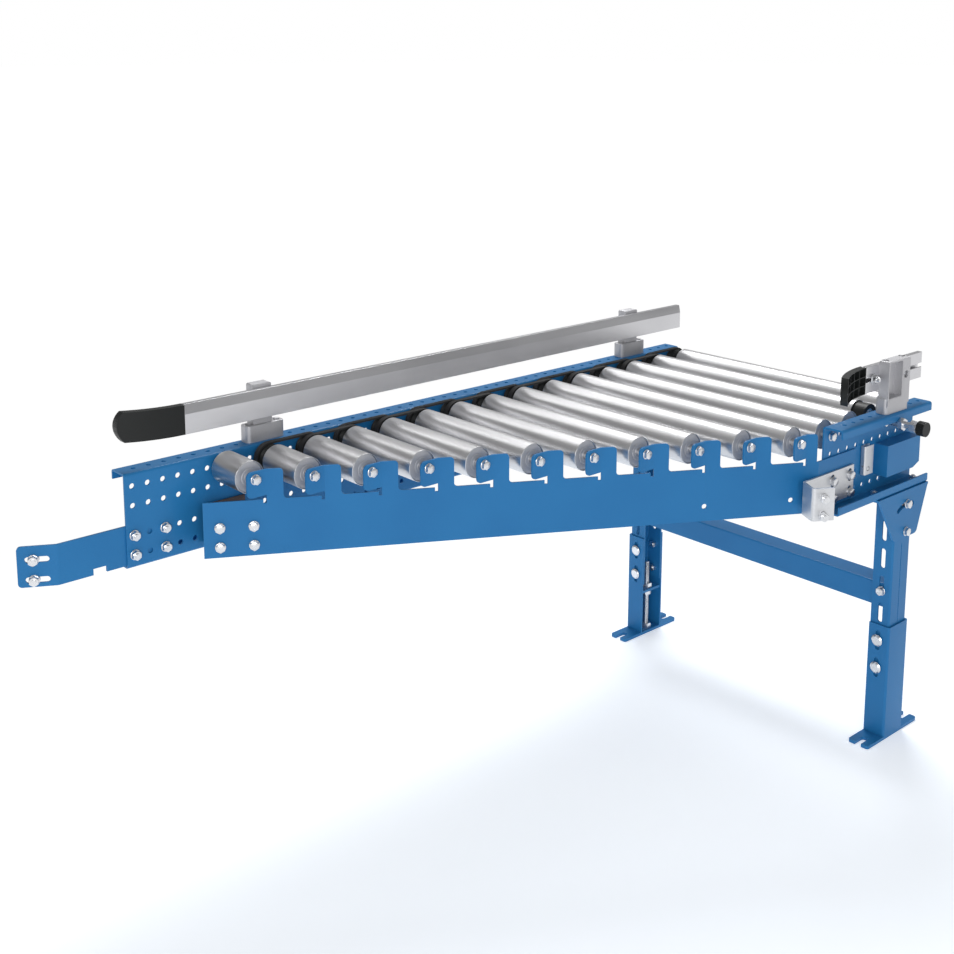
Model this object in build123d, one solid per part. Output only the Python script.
from build123d import *
import os
from math import cos, radians, sin, tan

os.makedirs("parts", exist_ok=True)

# Merge section of a belt driven roller conveyor. Sizes are in millimetres.
# X runs along the line, Y = 0 is the roller side of the back rail's web, the right rail lies
# towards -Y, and Z = 0 is the floor. The section is centred over its origin when it is written.

rail_top = 603.0
merge_angle = 30.0

# Side rails: lipped channels with rows of holes on a 25 mm grid
sheet = 3.0
rail_height = 145.0
rail_depth = 38.0
rail_lip = 15.0
rail_bend = 1.5
rail_length = 1240.0
right_rail_start = 967.5
frame_width = 532.0
hole_pitch = 25.0
hole_radius = 4.25
hole_rows = (20.0, 50.0, 95.0, 125.0)
flange_hole_radius = 3.75
flange_hole_line = 19.0

# Rollers, their axles and the belt drive at the back
roller_count = 15
first_roller = 162.5
roller_pitch = 75.0
roller_radius = 25.0
tube_wall = 1.5
axle_depth = 20.0
axle_radius = 6.0
axle_bore_depth = 20.0
end_gap = 12.0
bearing_radius = 14.0
bearing_width = 8.0
running_fit = 0.05
head_radius = 21.5
head_start = 8.0
head_end = 36.0
belt_tracks = (15.0, 27.0)
belt_width = 9.0
belt_gap = 0.3
belt_thickness = 3.0
motor_roller = 14
motor_tube_end = 488.0
motor_end_length = 24.0

# Diagonal rail along the merge line
merge_front = 9.6
merge_start = 110.0
merge_valley = 55.0
merge_bottom = 141.5
lug_top = 8.0
lug_bottom = 48.0
lug_back = 14.0
lug_reach = 19.3
tooth_width = 25.0
last_tooth_end = 1089.0
merge_corner = (951.0, -538.0)
merge_tail_end = 1057.0
merge_tail_bottom = 138.0

# Brackets that hold the section to the main line, all standing on one plane
bracket_sheet = 4.0
line_face = -50.0

# Side guides, their end caps and clamps
guide_bottom = 39.0
guide_top = 85.0
guide_thickness = 12.0
guide_set_back = 2.0
back_guide_start = 104.0
back_guide_end = 1246.0
right_guide_start = 1065.0
right_guide_end = 1240.0
cap_length = 97.0
cap_radius = 190.0
cap_skin = 3.0
cap_round = 9.0
clamp_height = 91.0
clamp_base = (70.0, 24.0, 27.0)

# Stand: head plates, telescopic legs and feet
stand_x = 1173.0
pivot_depth = 220.0
arc_radius = 50.0
arc_limits = (-32.0, 22.0)
plate_outer = 306.0
upper_outer = 300.5
lower_outer = 304.0
leg_inner = 264.0
upper_half_width = 27.0
lower_half_width = 30.5
upper_top = 162.0
upper_bottom = 492.0
lower_top = 392.0
lower_bottom = 597.0
leg_line = 282.0
spindle_line = 279.0
leg_bolt_depths = (421.0, 472.0)
beam_depth = 317.0
beam_height = 43.0
beam_bolt_depth = 330.0
foot_size = (160.0, 40.0, 6.0)

# Fasteners
m8 = {"shank": 3.95, "flats": 13.0, "head": 5.3, "nut": 6.5, "washer_radius": 8.0, "washer": 1.6}
m6 = {"shank": 2.95, "flats": 10.0, "head": 4.0, "nut": 4.4, "washer_radius": 6.0, "washer": 1.4}
m12_radius = 6.0
m12_flats = 19.0
m12_nut = 10.0

mid_y = -frame_width / 2
belt_radius = head_radius + belt_gap
along = Vector(cos(radians(merge_angle)), -sin(radians(merge_angle)), 0)
across = Vector(sin(radians(merge_angle)), cos(radians(merge_angle)), 0)
merge_frame = Rot(0, 0, -merge_angle)
mirror_plane = Plane(origin=(0, mid_y, 0), z_dir=(0, 1, 0))

nodes = {}


# ---- helpers ----

# Keep the separate solids of one sub-part under its name.
def keep(name, *shapes):
    nodes[name] = [solid for shape in shapes for solid in shape.solids()]


# Height above the floor of a point this far below the top of the rails.
def level(depth):
    return rail_top - depth


def block(x0, x1, y0, y1, z0, z1):
    return Pos(x0, y0, z0) * Box(x1 - x0, y1 - y0, z1 - z0, align=(Align.MIN,) * 3)


def rod(start, end, radius):
    run = Vector(*end) - Vector(*start)
    return Plane(origin=start, z_dir=run) * Cylinder(
        radius, run.length, align=(Align.CENTER, Align.CENTER, Align.MIN)
    )


def hex_rod(start, end, flats):
    run = Vector(*end) - Vector(*start)
    section = RegularPolygon(flats / 2, 6, major_radius=False)
    return Plane(origin=start, z_dir=run) * extrude(section, run.length)


def ring(start, end, outer, inner):
    return rod(start, end, outer) - rod(start, end, inner)


# An upright plate: an outline in X and Z, with its back at y_back, thick towards -Y.
def panel(outline, y_back, thickness):
    return Pos(0, y_back, 0) * extrude(Plane.XZ * outline, thickness)


# Sheet metal folded along a plan path. The path is one face of the sheet.
def folded(points, side, thickness, z0, z1, outer_bend=4.5):
    path = FilletPolyline(*points, radius=outer_bend)
    outline = path.wires()[0].offset_2d(thickness, side=side, closed=True)
    return extrude(Pos(0, 0, z0) * make_face(outline.edges()), z1 - z0)


# A vertical slot in an upright plate that faces -Y, as a cutter.
def upright_slot(x, y, z, length, width, reach):
    slot = Pos(x, z) * Rot(0, 0, 90) * SlotOverall(length, width)
    return panel(slot, y + reach, 2 * reach)


# A bolt through a stack of plates: head and washer at the seat, washer and nut at the far side.
def bolt_set(seat, into, grip, size, nut=True, shank=None):
    start = Vector(*seat)
    way = Vector(*into).normalized()
    radius = size["shank"]

    def at(depth):
        return start + way * depth

    washer = size["washer"]
    tail = shank if shank else grip + washer + size["nut"] + 2
    head = hex_rod(at(-washer - size["head"]), at(-washer), size["flats"])
    pieces = [
        head + rod(at(-washer), at(tail), radius),
        ring(at(-washer), at(0), size["washer_radius"], radius),
    ]
    if nut:
        pieces.append(ring(at(grip), at(grip + washer), size["washer_radius"], radius))
        nut_end = at(grip + washer + size["nut"])
        pieces.append(
            hex_rod(at(grip + washer), nut_end, size["flats"]) - rod(at(grip + washer), nut_end, radius)
        )
    return pieces


def roller_x(number):
    return first_roller + roller_pitch * (number - 1)


# ---- side rails ----

# A lipped channel along X. side is +1 where the flanges point to +Y from the web.
def lipped_rail(x0, x1, web_face, side):
    outer = RectangleRounded(rail_depth, rail_height, rail_bend + sheet)
    inner = RectangleRounded(rail_depth - 2 * sheet, rail_height - 2 * sheet, rail_bend)
    mouth = Pos(side * rail_depth / 2, 0) * Rectangle(3 * sheet, rail_height - 2 * rail_lip)
    centre = Pos(web_face + side * rail_depth / 2, level(rail_height / 2))
    section = centre * (outer - inner - mouth)
    return Pos(x0, 0, 0) * extrude(Plane.YZ * section, x1 - x0)


# Cutters for the four rows of web holes and the one row of holes through both flanges.
def rail_holes(first_web, count, first_flange, web_face, side):
    cutters = []
    for index in range(count):
        x = first_web + hole_pitch * index
        for row in hole_rows:
            cutters.append(
                rod((x, web_face - side, level(row)), (x, web_face + side * 5, level(row)), hole_radius)
            )
    y = web_face + side * flange_hole_line
    for index in range(count):
        x = first_flange + hole_pitch * index
        cutters.append(rod((x, y, level(rail_height + 1)), (x, y, rail_top + 1), flange_hole_radius))
    return cutters


motor_x = roller_x(motor_roller)
back_rail = lipped_rail(0, rail_length, 0, 1) - rail_holes(12.5, 49, 25, 0, 1)
keep("back_rail", back_rail)

right_rail = lipped_rail(right_rail_start, rail_length, -frame_width, -1)
right_rail -= rail_holes(right_rail_start + 20, 10, 1000, -frame_width, -1)
right_rail -= rod(
    (motor_x, -frame_width + 1, level(axle_depth)),
    (motor_x, -frame_width - rail_depth - 1, level(axle_depth)),
    axle_radius + 0.4,
)
keep("right_rail", right_rail)


# ---- diagonal rail ----

merge_back = merge_front + sheet


# A point on the merge line: s along it, c across it.
def merge_point(s, c):
    return Vector(0, 0, 0) + along * s + across * c


# Front face in Y of the lug that carries one roller, and where its bend lies along the merge line.
def lug_face(number):
    bend_x = roller_x(number) + lug_reach
    return (merge_front - sin(radians(merge_angle)) * bend_x) / cos(radians(merge_angle))


def lug_bend(number):
    bend_x = roller_x(number) + lug_reach
    return along.X * bend_x + along.Y * lug_face(number)


lug_rollers = range(1, 12)
corner_s = along.X * merge_corner[0] + along.Y * merge_corner[1]
outline = [(merge_start, level(merge_bottom)), (merge_start, level(merge_valley))]
rounded = []
for number in lug_rollers:
    bend = lug_bend(number)
    tooth_end = min(bend + tooth_width, last_tooth_end)
    outline += [(bend - 5, level(merge_valley)), (bend - 5, level(merge_valley + 6))]
    outline += [(bend, level(merge_valley + 6)), (bend, level(lug_top))]
    outline += [(tooth_end, level(lug_top)), (tooth_end, level(merge_valley))]
    rounded += outline[-2:] if tooth_end < last_tooth_end else outline[-2:-1]
outline += [(corner_s, level(merge_valley)), (corner_s, level(merge_bottom))]
face = make_face(Polyline(*outline, close=True))
corners = [v for v in face.vertices() if any((v.center() - Vector(*p)).length < 0.01 for p in rounded)]
face = fillet(corners, 6)
merge_rail = merge_frame * panel(face, merge_back, sheet)
for number in lug_rollers:
    x = roller_x(number)
    low, high = x - lug_back, x + lug_reach + sheet * tan(radians(merge_angle / 2))
    middle = Pos((low + high) / 2, level((lug_top + lug_bottom) / 2))
    lug = middle * Rectangle(high - low, lug_bottom - lug_top)
    lug = fillet(lug.vertices().group_by(Axis.X)[0], 8) - Pos(x, level(axle_depth)) * Circle(hole_radius)
    merge_rail += panel(lug, lug_face(number) + sheet, sheet)
tail_y = merge_corner[1]
merge_rail += block(
    merge_corner[0], merge_tail_end, tail_y, tail_y + sheet, level(merge_tail_bottom), level(merge_valley)
)

gusset_bolts = (134.2, 184.2)
bolt_rows = hole_rows[2:]
merge_holes = [(s, row) for s in gusset_bolts for row in bolt_rows] + [(897.4, 117.0), (1046.0, 117.0)]
for s, row in merge_holes:
    merge_rail -= rod(
        merge_point(s, merge_front - 1) + (0, 0, level(row)),
        merge_point(s, merge_back + 1) + (0, 0, level(row)),
        hole_radius,
    )
step_bolts = (987.5, 1037.5)
for x in step_bolts:
    for row in bolt_rows:
        merge_rail -= rod((x, tail_y - 1, level(row)), (x, tail_y + sheet + 1, level(row)), hole_radius)
keep("diagonal_rail", merge_rail)


# ---- corner gusset and the two line brackets ----

# The bolts towards the main line end flush with the brackets; their nuts belong to the line.

frame_bolts = []
gusset_web_bolts = (137.5, 187.5)
gusset_turn = merge_start / cos(radians(merge_angle))
gusset_points = [
    tuple(merge_point(200, merge_back))[:2],
    tuple(merge_point(merge_start, merge_back))[:2],
    (gusset_turn, 0),
    (200, 0),
]
gusset = folded(gusset_points, Side.RIGHT, sheet, level(135), level(75))
for row in bolt_rows:
    height = (0, 0, level(row))
    for s in gusset_bolts:
        gusset -= rod(
            merge_point(s, merge_back - 1) + height,
            merge_point(s, merge_back + sheet + 1) + height,
            hole_radius,
        )
        frame_bolts += bolt_set(merge_point(s, merge_front) + height, across, 2 * sheet, m8)
    for x in gusset_web_bolts:
        gusset -= rod((x, 1, level(row)), (x, -sheet - 1, level(row)), hole_radius)
        frame_bolts += bolt_set((x, sheet, level(row)), (0, -1, 0), 2 * sheet, m8)
keep("corner_gusset", gusset)

arm_bend_x = -105.0
arm_end_length = 55.0
arm_bolts = (12.5, 62.5)
arm_end = Vector(arm_bend_x, sheet, 0) - along * arm_end_length
arm = folded(
    [(78, sheet), (arm_bend_x, sheet), (arm_end.X, arm_end.Y)],
    Side.RIGHT,
    bracket_sheet,
    level(140.4),
    level(80),
    7,
)
arm = fillet(
    arm.edges().filter_by(lambda e: e.length < 1.01 * bracket_sheet and e.center().X < arm_bend_x - 40), 6
)
arm -= block(-52, -31, 0, 10, level(145), level(131))
for x in arm_bolts:
    for row in bolt_rows:
        arm -= rod((x, sheet - 1, level(row)), (x, sheet + bracket_sheet + 1, level(row)), hole_radius)
        frame_bolts += bolt_set(
            (x, sheet + bracket_sheet, level(row)), (0, -1, 0), sheet + bracket_sheet, m8
        )
arm_face_c = across.X * arm_bend_x + across.Y * sheet
arm_slots = (-120.0, 34.0)
for depth in (100, 130):
    slot = Pos(arm_slots[0], level(depth)) * SlotOverall(arm_slots[1], 9)
    arm -= merge_frame * panel(slot, arm_face_c + bracket_sheet + 1, bracket_sheet + 2)
    seat = merge_point(arm_slots[0] - 5, arm_face_c + bracket_sheet) + (0, 0, level(depth))
    frame_bolts += bolt_set(seat, across * -1, bracket_sheet, m8, nut=False, shank=bracket_sheet)
keep("arm_bracket", arm)

step_face = 38.0
step_y = tail_y
step_low = merge_point(1054.8, line_face)
step_high = step_low + across * ((step_y - step_low.Y) / across.Y)
step_end = step_low + along * step_face
step = folded(
    [(1049, step_y), (step_high.X, step_high.Y), (step_low.X, step_low.Y), (step_end.X, step_end.Y)],
    Side.LEFT,
    bracket_sheet,
    level(133),
    level(79),
    6,
)
for row in bolt_rows:
    for x in step_bolts:
        step -= upright_slot(x, step_y - bracket_sheet / 2, level(row), 22, 9, bracket_sheet)
        frame_bolts += bolt_set(
            (x, step_y - bracket_sheet, level(row)), (0, 1, 0), bracket_sheet + 2 * sheet, m8
        )
    middle = step_low + along * (step_face / 2) + (0, 0, level(row))
    step -= rod(middle - across, middle + across * (bracket_sheet + 1), hole_radius)
    seat = middle + across * bracket_sheet
    frame_bolts += bolt_set(seat, across * -1, bracket_sheet, m8, nut=False, shank=bracket_sheet)
keep("step_bracket", step)


# ---- drive cover and its bracket ----

web_outer = -frame_width - sheet
cover = block(1121, 1224, web_outer - 26, web_outer, level(114), level(59))
cover -= block(1123, 1222, web_outer - 24, web_outer + 1, level(115), level(61))
cover -= panel(
    make_face(Polyline((1225, level(115)), (1225, level(106)), (1202, level(115)), close=True)),
    web_outer + 1,
    30,
)
cover += block(1123, 1222, web_outer - 2, web_outer, level(103), level(87))
for x in (1137.5, 1212.5):
    cover -= rod((x, web_outer + 1, level(95)), (x, web_outer - 3, level(95)), hole_radius)
    frame_bolts += bolt_set((x, -frame_width, level(95)), (0, -1, 0), sheet + 2, m8)
keep("drive_cover", cover)

cover_bracket = folded(
    [(1102, web_outer), (1077, web_outer), (1077, web_outer - 10), (1102, web_outer - 10)],
    Side.LEFT,
    2,
    level(105),
    level(55),
    3,
)
cover_bracket -= rod((1087.5, web_outer + 1, level(95)), (1087.5, web_outer - 12, level(95)), hole_radius)
cover_bracket -= rod((1076, web_outer - 5.5, level(90)), (1080, web_outer - 5.5, level(90)), 1.8)
keep("cover_bracket", cover_bracket)
frame_bolts += bolt_set((1087.5, -frame_width, level(95)), (0, -1, 0), sheet + 2, m6)


# ---- rollers, axles, bearings and their bolts ----

# Inner face of whatever carries a roller's near end, and the outer face its bolt bears on.
def near_faces(number):
    if number in lug_rollers:
        return lug_face(number) + sheet, lug_face(number)
    return -frame_width, web_outer


axle_z = level(axle_depth)


def axle_rod(number, y0, y1, radius):
    return rod((roller_x(number), y0, axle_z), (roller_x(number), y1, axle_z), radius)


# A bearing seat in a roller end whose outside is at y_out. inward is +1 towards +Y.
def bearing_seat(number, y_out, inward):
    pocket = axle_rod(number, y_out, y_out + inward * (bearing_width + 2), bearing_radius + running_fit)
    passage = axle_rod(number, y_out, y_out + inward * 60, axle_radius + 2.5)
    return [pocket, passage]


def bearing(number, y_out, inward):
    start = y_out + inward * 1.5
    return axle_rod(number, start, start + inward * bearing_width, bearing_radius) - axle_rod(
        number, start, start + inward * bearing_width, axle_radius
    )


# The ribbed drive head at the back end, with two belt tracks and a spigot inside the tube.
def drive_head():
    groove_pitch = 2.34
    groove_depth = 1.6
    groove_count = 4
    points = [(0, -head_start), (head_radius - 1, -head_start), (head_radius, -head_start - 1)]
    for track in belt_tracks:
        first = -track + groove_pitch * groove_count / 2
        for index in range(groove_count):
            y = first - groove_pitch * index
            points += [(head_radius, y - 0.3), (head_radius - groove_depth, y - groove_pitch / 2)]
            points += [(head_radius, y - groove_pitch + 0.3)]
    points += [(head_radius, -head_end), (roller_radius - tube_wall, -head_end)]
    points += [(roller_radius - tube_wall, -head_end - 12), (0, -head_end - 12)]
    profile = make_face(Polyline(*points, close=True))
    return revolve(profile, Axis.Y)


axles = []
bearings = []
axle_bolts = []
head_blank = drive_head()
housing_length = 14.0
housing_recess = 2.0
for number in range(1, roller_count + 1):
    x = roller_x(number)
    inner_face, outer_face = near_faces(number)
    driven = number > 1
    motor = number == motor_roller
    near_end = -motor_tube_end if motor else inner_face + end_gap
    back_end = -head_end if driven else -end_gap
    tube = axle_rod(number, near_end, back_end, roller_radius)
    tube -= axle_rod(number, near_end, back_end, roller_radius - tube_wall)
    pieces = [tube]
    housings = []
    seat_near = -motor_tube_end - motor_end_length if motor else near_end + housing_recess
    if motor:
        boss = axle_rod(number, seat_near, near_end, roller_radius - 3)
        boss += axle_rod(number, near_end, near_end + housing_length, roller_radius - tube_wall)
        housings.append(boss - bearing_seat(number, seat_near, 1))
    else:
        plug = axle_rod(number, seat_near, seat_near + housing_length, roller_radius - tube_wall)
        pieces.append(plug - bearing_seat(number, seat_near, 1))
    bearings.append(bearing(number, seat_near, 1))
    if driven:
        housings.append(Pos(x, 0, axle_z) * head_blank - bearing_seat(number, -head_start, -1))
        bearings.append(bearing(number, -head_start, -1))
        keep(f"drive_head_{number:02d}", *housings)
    else:
        plug = axle_rod(number, back_end - housing_recess - housing_length, back_end - housing_recess,
                        roller_radius - tube_wall)
        pieces.append(plug - bearing_seat(number, back_end - housing_recess, -1))
        bearings.append(bearing(number, back_end - housing_recess, -1))
    keep(f"roller_{number:02d}", *pieces)

    axle = axle_rod(number, inner_face, 0, axle_radius)
    axle -= axle_rod(number, -axle_bore_depth, 0, m8["shank"])
    axle_bolts += bolt_set((x, sheet, axle_z), (0, -1, 0), sheet, m8, nut=False, shank=16)
    if not motor:
        axle -= axle_rod(number, inner_face, inner_face + axle_bore_depth, m8["shank"])
        axle_bolts += bolt_set((x, outer_face, axle_z), (0, 1, 0), sheet, m8, nut=False, shank=16)
    axles.append(axle)

keep("roller_axles", *axles)
keep("roller_bearings", *bearings)
keep("axle_bolts", *axle_bolts)


# ---- drive belts, one loop between each pair of driven rollers ----

loop = SlotCenterToCenter(roller_pitch, 2 * (belt_radius + belt_thickness))
loop -= SlotCenterToCenter(roller_pitch, 2 * belt_radius)
belts = []
for number in range(2, roller_count):
    front = belt_width / 2 - belt_tracks[number % 2]
    middle = Pos(roller_x(number) + roller_pitch / 2, 0, axle_z)
    belts.append(middle * panel(loop, front, belt_width))
keep("drive_belts", *belts)


# ---- drive connector on the motor roller's axle ----

stud_end = web_outer - 71
stud = axle_rod(motor_roller, -frame_width, stud_end, m12_radius)
connector = [stud]
for start, thickness in ((3, 8), (36, 8), (57, 10)):
    y = web_outer - start
    nut = hex_rod((motor_x, y, axle_z), (motor_x, y - thickness, axle_z), m12_flats)
    connector.append(nut - axle_rod(motor_roller, y, y - thickness, m12_radius))
connector.append(
    ring((motor_x, web_outer, axle_z), (motor_x, web_outer - 3, axle_z), 12, m12_radius)
)
knob_radius = 12.5
knob_length = 14.0
knob_notches = 16
knob = axle_rod(motor_roller, stud_end, stud_end - knob_length, knob_radius)
for index in range(knob_notches):
    turn = Rot(0, 360 / knob_notches * index, 0)
    notch = turn * Pos(knob_radius, 0, 0) * Rot(90, 0, 0) * Cylinder(0.9, knob_length - 2)
    knob -= Pos(motor_x, stud_end - knob_length / 2, axle_z) * notch
connector.append(knob)
keep("drive_connector", *connector)


# ---- side guides, end caps and clamps ----

# Section of the extrusion: u is the distance behind the face that the goods touch.
guide_section = [
    (0, guide_bottom), (0, 70), (3, guide_top), (12, guide_top), (12, 65.5), (9.5, 65.5),
    (9.5, 69), (5, 69), (5, 55), (9.5, 55), (9.5, 58.5), (12, 58.5), (12, guide_bottom),
]


def guide_profile(x0, x1):
    face = make_face(Polyline(*[(guide_set_back + u, rail_top + z) for u, z in guide_section], close=True))
    return Pos(x0, 0, 0) * extrude(Plane.YZ * face, x1 - x0)


# The moulded cap carries on from the extrusion in an arc away from the goods, with a round nose.
# Its back is a grid of ribs.
def guide_cap(end_x):
    centre_y = guide_set_back + cap_radius
    height = guide_top - guide_bottom
    z_mid = rail_top + guide_bottom + height / 2

    def drum(radius):
        return Pos(end_x, centre_y, z_mid) * Cylinder(radius, height)

    tip = end_x - cap_length
    side_view = make_face(
        Polyline((tip + cap_round, z_mid + height / 2), (end_x, z_mid + height / 2),
                 (end_x, z_mid - height / 2), (tip + cap_round, z_mid - height / 2))
        + ThreePointArc((tip + cap_round, z_mid - height / 2), (tip, z_mid),
                        (tip + cap_round, z_mid + height / 2))
    )
    body = panel(side_view, 60, 100) & (drum(cap_radius) - drum(cap_radius - guide_thickness))
    rows, columns, rib = 3, 4, 1.4
    cell_height = (height - rib * (rows + 1)) / rows
    cell_width = (cap_length - 13 - rib * columns) / columns
    cells = [
        block(end_x - (column + 1) * (cell_width + rib), end_x - column * (cell_width + rib) - rib, 0, 60,
              z_mid - height / 2 + rib + row * (cell_height + rib),
              z_mid - height / 2 + (row + 1) * (cell_height + rib))
        for row in range(rows) for column in range(columns)
    ]
    core = drum(cap_radius - cap_skin)
    return body - [cell & core for cell in cells]


# A cast clamp: rounded base on the flange, and a column behind the guide with a pocket and a recess.
def guide_clamp(x, low, high, screw_offset):
    length, depth, height = clamp_base
    y_mid = 9 + depth / 2
    base = extrude(Pos(x, y_mid, rail_top) * RectangleRounded(length, depth, 8), height)
    base = fillet(base.edges().group_by(Axis.Z)[-1], 1.5)
    y_face = guide_set_back + guide_thickness
    column = block(x + low, x + high, y_face, 9 + depth, rail_top + 12, rail_top + clamp_height)
    column = fillet(column.edges().filter_by(Axis.Y).group_by(Axis.Z)[-1], 3)
    column -= block(
        x + low + 2.5, x + high - 24, y_face + 4, 10 + depth, rail_top + 22, rail_top + clamp_height - 3
    )
    body = base + column
    recess_x = x + high - 12
    body -= rod((recess_x, 10 + depth, rail_top + 62), (recess_x, 9 + depth - 9, rail_top + 62), 6.5)
    body -= rod((recess_x, 10 + depth, rail_top + 62), (recess_x, 10, rail_top + 62), 3.1)
    for turn in (-1, 1):
        recess = x + turn * 25
        body -= rod((recess, y_mid - 1, rail_top + height - 8), (recess, y_mid - 1, rail_top + 100), 6)
        tapped = x + turn * screw_offset
        body -= rod((tapped, flange_hole_line, rail_top), (tapped, flange_hole_line, rail_top + 18), 3)
    return body


# Screws of one clamp: two up through the flange, one into the slot of the extrusion.
def clamp_screws(x, low, high, screw_offset):
    pieces = []
    for offset in (-screw_offset, screw_offset):
        seat = (x + offset, flange_hole_line, rail_top - sheet)
        pieces += bolt_set(seat, (0, 0, 1), sheet, m6, nut=False, shank=17)
    recess_x = x + high - 12
    z = rail_top + 62
    face_y = 9 + clamp_base[1] - 9
    pieces.append(rod((recess_x, face_y, z), (recess_x, face_y + 5, z), 5)
                  + rod((recess_x, face_y, z), (recess_x, guide_set_back + 6, z), 2.95))
    return pieces


keep("back_guide", guide_profile(back_guide_start, back_guide_end))
keep("right_guide", mirror(guide_profile(right_guide_start, right_guide_end), mirror_plane))
keep("guide_caps", guide_cap(back_guide_start), mirror(guide_cap(right_guide_start), mirror_plane))

back_clamps = ((250, -20, 14, 25), (1112.5, -20, 14, 12.5))
right_clamp = (1137.5, -33, 33, 12.5)
keep(
    "guide_clamps",
    *[guide_clamp(*clamp) for clamp in back_clamps],
    mirror(guide_clamp(*right_clamp), mirror_plane),
)
screws = [piece for clamp in back_clamps for piece in clamp_screws(*clamp)]
screws += [mirror(piece, mirror_plane) for piece in clamp_screws(*right_clamp)]
keep("clamp_screws", *screws)


# ---- stand ----

# Both sides of the stand are alike: each is made for the back and mirrored to the right.
def both_sides(shapes):
    return shapes + [mirror(shape, mirror_plane) for shape in shapes]


# Y on the back side of a plane this far from the middle of the section.
def outward(offset):
    return mid_y + offset


# Head plate under the rail: a flange against the rail and a plate with the pivot and its arc slot.
def head_plate():
    top = level(rail_height)
    foot_left, foot_right = (stand_x - 36, level(231)), (stand_x + 36, level(231))
    shape = make_face(Polyline((1083, top), (1240, top), foot_right, foot_left, close=True))
    shape = fillet(shape.vertices().group_by(Axis.Y)[0], 10)
    pivot = (stand_x, level(pivot_depth))
    path = CenterArc(pivot, arc_radius, 90 - arc_limits[1], arc_limits[1] - arc_limits[0])
    shape -= SlotArc(path, 9)
    shape -= Pos(*pivot) * Circle(m8["shank"] + running_fit)
    plate = panel(shape, outward(plate_outer), 4)
    flange = block(1083, 1240, outward(plate_outer - 36), outward(plate_outer), top - 4, top)
    for x in (1100, 1225):
        flange -= rod((x, flange_hole_line, top + 1), (x, flange_hole_line, top - 5), flange_hole_radius)
    return plate + flange


keep("head_plates", *both_sides([head_plate()]))
for x in (1100, 1225):
    seat = (x, flange_hole_line, level(rail_height) - 4)
    frame_bolts += both_sides(bolt_set(seat, (0, 0, 1), 4 + sheet, m6))
keep("frame_bolts", *frame_bolts)


# An upright channel with its web outside, open towards the middle of the section.
def leg_channel(half_width, outer, z0, z1, bend):
    path = [
        (stand_x - half_width, outward(leg_inner)),
        (stand_x - half_width, outward(outer)),
        (stand_x + half_width, outward(outer)),
        (stand_x + half_width, outward(leg_inner)),
    ]
    return folded(path, Side.RIGHT, sheet, z0, z1, bend)


# A slot or hole through both flanges of a leg.
def leg_slot(depth, length, width):
    slot = Pos(outward(leg_line), level(depth)) * Rot(0, 0, 90) * SlotOverall(length, width)
    return Pos(stand_x - 50, 0, 0) * extrude(Plane.YZ * slot, 100)


leg_slot_size = (36.0, 9.0)
upper_leg = leg_channel(upper_half_width, upper_outer, level(upper_bottom), level(upper_top), 4)
upper_leg -= [leg_slot(depth, *leg_slot_size) for depth in (220, 270, 320, 370)]
for depth in leg_bolt_depths:
    upper_leg -= rod(
        (stand_x - 50, outward(leg_line), level(depth)),
        (stand_x + 50, outward(leg_line), level(depth)),
        hole_radius,
    )
for depth in (pivot_depth, pivot_depth - arc_radius):
    upper_leg -= rod(
        (stand_x, outward(upper_outer - 10), level(depth)),
        (stand_x, outward(upper_outer + 10), level(depth)),
        hole_radius,
    )
groove_y = outward(upper_outer)
upper_leg -= block(stand_x - 1, stand_x + 1, groove_y - 0.8, groove_y + 1, level(upper_bottom), level(245))
keep("upper_legs", *both_sides([upper_leg]))

beam_half_width = 23.5
beam_end = upper_outer - sheet - 0.5
beam = block(
    stand_x - beam_half_width, stand_x + beam_half_width, outward(-beam_end), outward(beam_end),
    level(beam_depth + beam_height), level(beam_depth)
)
beam -= block(
    stand_x - beam_half_width + sheet, stand_x + beam_half_width - sheet, outward(-beam_end) - 1,
    outward(beam_end) + 1, level(beam_depth + beam_height) - 1, level(beam_depth) - sheet
)
beam = fillet(beam.edges().filter_by(Axis.Y).group_by(Axis.Z)[-1], 3)
for offset in (-leg_line, leg_line):
    beam -= rod(
        (stand_x - 50, outward(offset), level(beam_bolt_depth)),
        (stand_x + 50, outward(offset), level(beam_bolt_depth)),
        hole_radius,
    )
keep("cross_beam", beam)

# Bolts that turn with the stand: pivot and arc bolt, cross beam bolts and the leg bolts.
pivot_gap = 0.2
stand_bolts = []
for depth in (pivot_depth, pivot_depth - arc_radius):
    seat = (stand_x, outward(plate_outer) + pivot_gap, level(depth))
    stand_bolts += bolt_set(seat, (0, -1, 0), plate_outer + pivot_gap - upper_outer + sheet, m8)
    spacer_start = (stand_x, outward(upper_outer), level(depth))
    spacer_end = (stand_x, outward(plate_outer) - 4 - pivot_gap, level(depth))
    stand_bolts.append(ring(spacer_start, spacer_end, m8["washer_radius"], m8["shank"]))
for turn in (-1, 1):
    face_x = stand_x + turn * upper_half_width
    stand_bolts += bolt_set(
        (face_x, outward(leg_line), level(beam_bolt_depth)),
        (-turn, 0, 0),
        upper_half_width - beam_half_width + sheet,
        m8,
    )
    head_x = stand_x + turn * (lower_half_width + pivot_gap)
    nut_x = stand_x + turn * (upper_half_width - sheet)
    for depth in leg_bolt_depths:
        y, z = outward(leg_line), level(depth)
        cup = rod((head_x, y, z), (head_x + turn * 4.5, y, z), 10.5)
        cup = fillet(cup.edges().sort_by(Axis.X)[-1 if turn > 0 else 0], 3.5)
        stand_bolts.append(cup + rod((head_x, y, z), (nut_x - turn * 8, y, z), m8["shank"]))
        nut = hex_rod((nut_x, y, z), (nut_x - turn * m8["nut"], y, z), m8["flats"])
        stand_bolts.append(nut - rod((nut_x, y, z), (nut_x - turn * m8["nut"], y, z), m8["shank"]))
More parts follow.
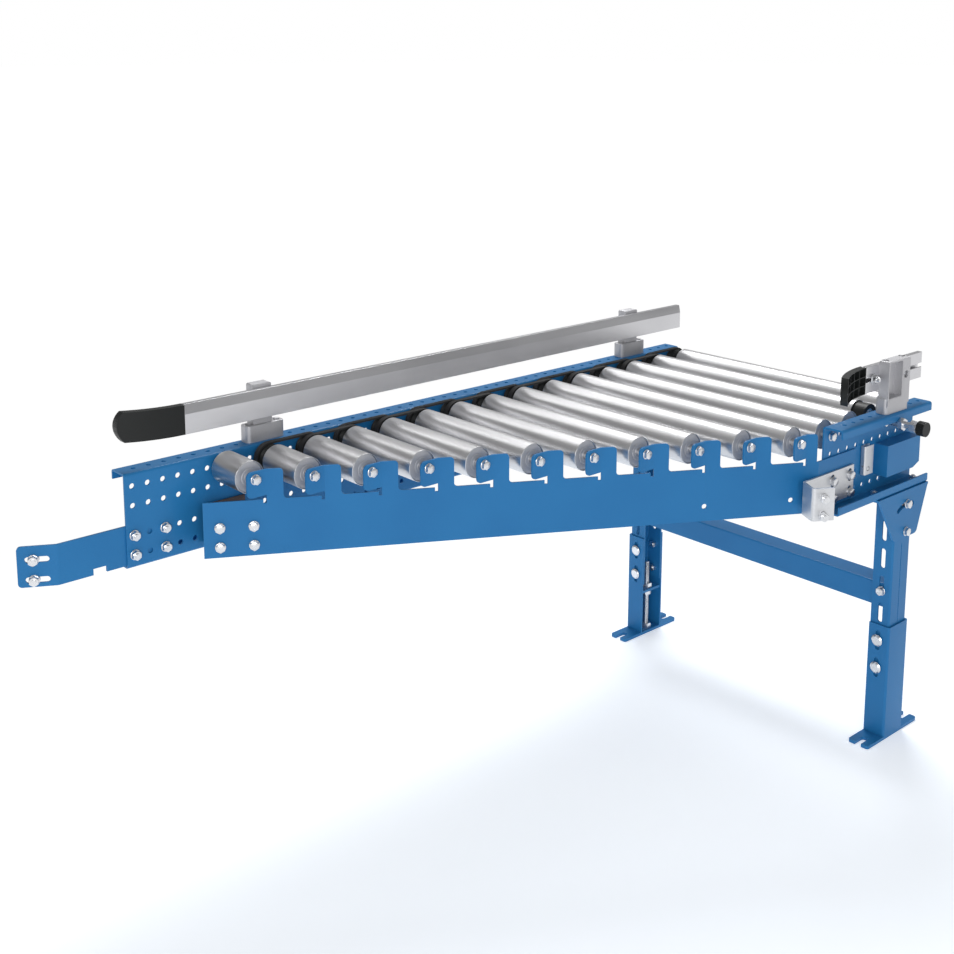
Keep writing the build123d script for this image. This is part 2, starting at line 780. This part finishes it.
keep("stand_bolts", *both_sides(stand_bolts))

# Lower leg: a wider channel around the upper one, with a welded shelf that carries the spindle nuts.
shelf_top = 508.0
shelf_thickness = 5.0
lower_leg = leg_channel(lower_half_width, lower_outer, level(lower_bottom), level(lower_top), 4.5)
lower_leg -= [leg_slot(depth, *leg_slot_size) for depth in leg_bolt_depths]
shelf_half = lower_half_width - sheet
lower_leg += block(
    stand_x - shelf_half, stand_x + shelf_half, outward(leg_inner + 2), outward(lower_outer - sheet),
    level(shelf_top + shelf_thickness), level(shelf_top)
)


def spindle_rod(depth0, depth1, radius):
    y = outward(spindle_line)
    return rod((stand_x, y, level(depth0)), (stand_x, y, level(depth1)), radius)


def spindle_nut(depth0, depth1, bore):
    y = outward(spindle_line)
    return hex_rod((stand_x, y, level(depth0)), (stand_x, y, level(depth1)), m12_flats) - spindle_rod(
        depth0, depth1, bore
    )


lower_leg -= spindle_rod(shelf_top - 1, shelf_top + shelf_thickness + 1, m12_radius + 0.5)
thread_bore = m12_radius + running_fit
shelf_bottom = shelf_top + shelf_thickness
nuts = [
    spindle_nut(shelf_top, shelf_top - m12_nut, thread_bore),
    spindle_nut(shelf_bottom, shelf_bottom + m12_nut, thread_bore),
]
spindle_top = 452.0
foot_top = rail_top - foot_size[2]
spindle = [
    spindle_rod(foot_top + 5, spindle_top, m12_radius),
    spindle_nut(foot_top, foot_top - m12_nut, m12_radius),
]
foot = block(
    stand_x - foot_size[0] / 2, stand_x + foot_size[0] / 2,
    outward(leg_inner), outward(leg_inner + foot_size[1]), 0, foot_size[2]
)
foot = fillet(foot.edges().filter_by(Axis.Z), 5)
foot -= spindle_rod(foot_top - 1, rail_top + 1, m12_radius + 0.3)
for turn in (-1, 1):
    fork = Pos(stand_x + turn * foot_size[0] / 2, outward(leg_inner + foot_size[1] / 2), -1)
    foot -= fork * extrude(SlotOverall(52, 12), foot_size[2] + 2)

places = {"back": lambda shape: shape, "right": lambda shape: mirror(shape, mirror_plane)}
for side_name, place in places.items():
    keep(f"lower_leg_{side_name}", place(lower_leg))
    keep(f"spindle_nuts_{side_name}", *[place(nut) for nut in nuts])
    keep(f"spindle_{side_name}", *[place(piece) for piece in spindle])
    keep(f"foot_{side_name}", place(foot))


# ---- write every sub-part, centred over the origin ----

extent = Compound([solid for solids in nodes.values() for solid in solids]).bounding_box()
centre = extent.center()
shift = Pos(-centre.X, -centre.Y, 0)
for name, solids in nodes.items():
    moved = [shift * solid for solid in solids]
    export_step(moved[0] if len(moved) == 1 else Compound(moved), f"parts/{name}.step")
print(f"{len(nodes)} sub-parts, centre of the section {centre.X:.3f} {centre.Y:.3f}")
